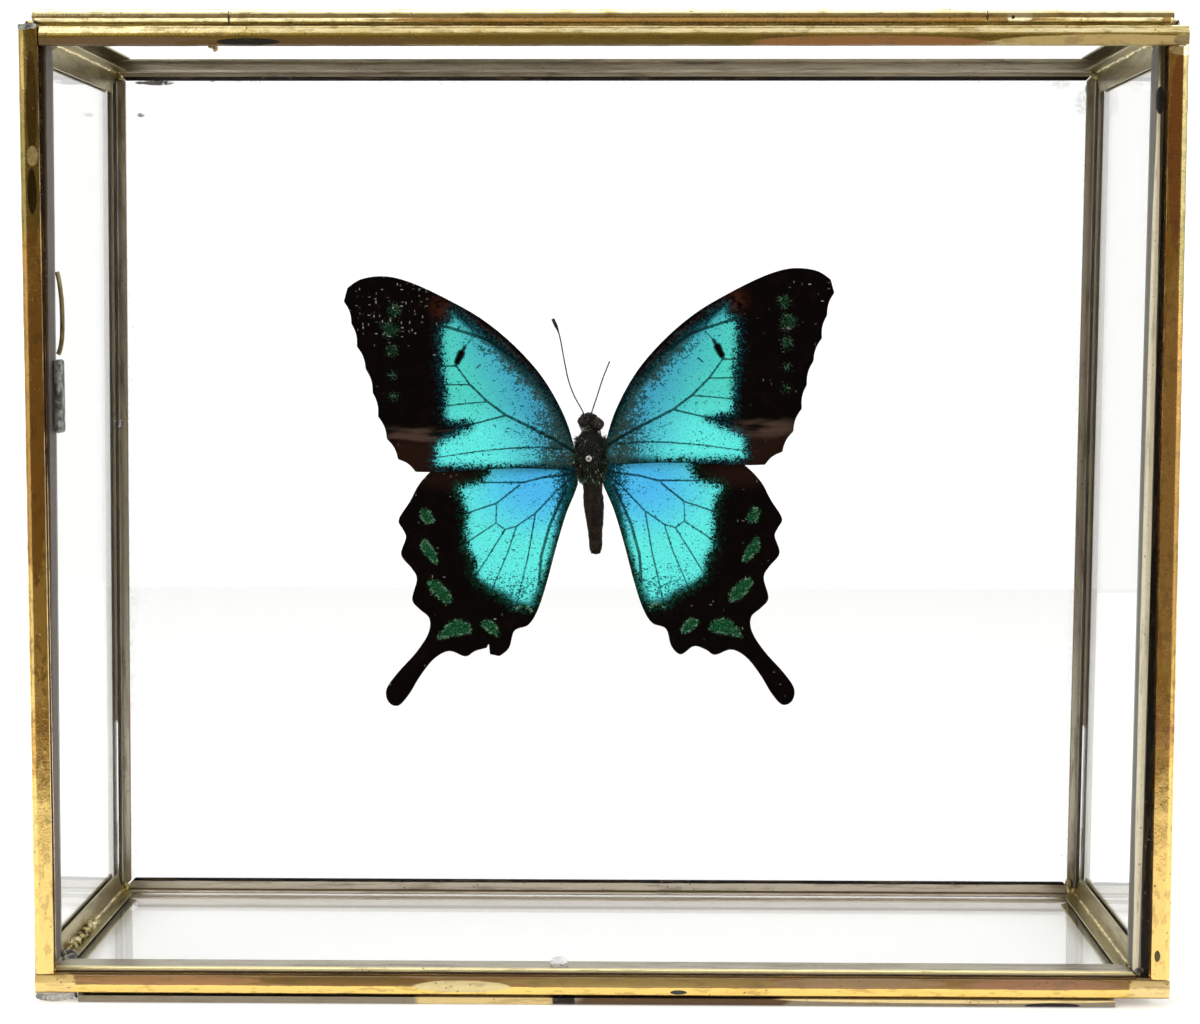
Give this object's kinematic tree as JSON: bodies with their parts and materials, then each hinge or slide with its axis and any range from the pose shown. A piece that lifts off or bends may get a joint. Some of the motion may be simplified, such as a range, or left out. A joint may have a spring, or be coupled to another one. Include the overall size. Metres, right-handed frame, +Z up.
{
  "type": "boxed butterfly specimen",
  "caption": "Blue and black swallowtail butterfly pinned open in a clear glass display case, with mottled brass edging and a front pane that hinges up along its top edge.",
  "frame": {"origin": "middle of the outer box in plan, on the surface that the case stands on", "axes": "+Z up, the hinged front pane faces -Y, +X towards the right of a viewer who faces it"},
  "size_m": [0.201, 0.067, 0.1734],
  "materials": {
    "clear_glass": "clear window glass, 1.7 mm, with dust and flux haze near its edges",
    "bright_brass": "mottled gold to amber brass, speckled by flux and tarnish",
    "dull_brass": "dull olive to grey-brown brass with pale streaks",
    "solder": "rough grey solder",
    "clear_plastic": "clear set glue and plastic",
    "forewing_scales": "matt scales, turquoise patch on velvet black with green dusting",
    "hindwing_scales": "matt scales, turquoise patch on velvet black with green crescents",
    "insect_body": "black hair dusted with green-white scales",
    "insect_horn": "satin dark brown horn",
    "pin_steel": "bright drawn steel"
  },
  "bodies": {
    "case": {"pane_back": "clear_glass", "pane_left": "clear_glass", "pane_right": "clear_glass", "pane_top": "clear_glass", "pane_bottom": "clear_glass", "came_front_left": "dull_brass", "came_front_right": "dull_brass", "came_front_top": "dull_brass", "came_front_bottom": "dull_brass", "came_side_top_left": "dull_brass", "came_side_top_right": "dull_brass", "came_side_bottom_left": "dull_brass", "came_side_bottom_right": "dull_brass", "came_back_left": "dull_brass", "came_back_right": "dull_brass", "came_back_top": "dull_brass", "came_back_bottom": "dull_brass", "hinge_tube_left": "bright_brass", "hinge_tube_right": "bright_brass", "hinge_wire": "dull_brass", "base_strip_front": "bright_brass", "pad_front_left": "clear_plastic", "pad_back_left": "clear_plastic", "pad_back_right": "clear_plastic", "catch_wire": "dull_brass", "catch_solder": "solder", "clear_stop": "clear_plastic", "clear_post": "clear_plastic", "insect_pin": "pin_steel", "butterfly_body": "insect_body", "forewing_left": "forewing_scales", "forewing_right": "forewing_scales", "hindwing_left": "hindwing_scales", "hindwing_right": "hindwing_scales", "antenna_left": "insect_horn", "antenna_right": "insect_horn", "leg_front_left": "insect_horn", "leg_front_right": "insect_horn", "leg_middle_left": "insect_horn", "leg_middle_right": "insect_horn", "leg_hind_left": "insect_horn", "leg_hind_right": "insect_horn"},
    "lid": {"pane_lid": "clear_glass", "lid_came_left": "bright_brass", "lid_came_right": "bright_brass", "lid_came_top": "bright_brass", "lid_came_bottom": "bright_brass", "hinge_tube_middle": "bright_brass"}
  },
  "joints": [
    {"name": "lid_hinge", "type": "hinge", "parent": "case", "child": "lid", "pos_m": [0, -0.032, 0.1721], "axis": [-1, 0, 0], "range_deg": [0, 225]}
  ]
}
